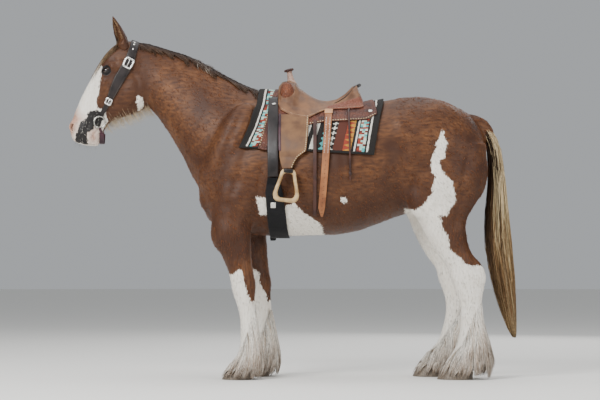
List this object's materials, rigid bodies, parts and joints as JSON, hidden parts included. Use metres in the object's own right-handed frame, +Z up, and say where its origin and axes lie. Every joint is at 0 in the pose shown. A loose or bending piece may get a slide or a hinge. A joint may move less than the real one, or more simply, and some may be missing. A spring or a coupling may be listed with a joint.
{
  "type": "clydesdale horse",
  "caption": "Still, life-size standing draught horse with feathered legs, wearing a stock saddle, woven blanket, cinch and headstall with a ring bit.",
  "frame": {"origin": "on the floor, under the middle of the whole model", "axes": "+Z up, the horse faces -X and its left side is at -Y"},
  "size_m": [2.679, 0.828, 2.1611],
  "materials": {
    "coat": "satin",
    "white_hair": "satin",
    "tail_hair": "satin",
    "hoof_horn": "matte",
    "eye": "gloss",
    "bridle_leather": "satin",
    "saddle_leather": "satin",
    "billet_leather": "satin",
    "latigo_leather": "satin",
    "plum_leather": "satin",
    "blanket_wool": "matte",
    "cinch_webbing": "matte",
    "rawhide": "satin",
    "silver": "polished"
  },
  "bodies": {
    "root": {"head": "coat", "neck": "coat", "torso": "coat", "tail": "tail_hair", "foreleg_left": "coat", "hindleg_left": "coat", "forefoot_left": "white_hair", "hindfoot_left": "white_hair", "fore_hoof_left": "hoof_horn", "hind_hoof_left": "hoof_horn", "ear_left": "coat", "eye_left": "eye", "cheek_buckle_left": "silver", "bit_buckle_left": "silver", "bit_ring_left": "silver", "bucking_roll_left": "saddle_leather", "fender_left": "saddle_leather", "latigo_left": "latigo_leather", "rear_billet_left": "billet_leather", "rear_strap_left": "latigo_leather", "saddle_string_left": "saddle_leather", "stirrup_left": "rawhide", "cinch_plate_left": "silver", "foreleg_right": "coat", "hindleg_right": "coat", "forefoot_right": "white_hair", "hindfoot_right": "white_hair", "fore_hoof_right": "hoof_horn", "hind_hoof_right": "hoof_horn", "ear_right": "coat", "eye_right": "eye", "cheek_buckle_right": "silver", "bit_buckle_right": "silver", "bit_ring_right": "silver", "bucking_roll_right": "saddle_leather", "fender_right": "saddle_leather", "latigo_right": "latigo_leather", "rear_billet_right": "billet_leather", "rear_strap_right": "latigo_leather", "saddle_string_right": "saddle_leather", "stirrup_right": "rawhide", "cinch_plate_right": "silver", "headstall": "bridle_leather", "chin_strap": "plum_leather", "bit_mouthpiece": "silver", "saddle_blanket": "blanket_wool", "saddle_skirts": "saddle_leather", "saddle_seat": "saddle_leather", "saddle_horn": "saddle_leather", "cinch": "cinch_webbing"}
  },
  "joints": []
}
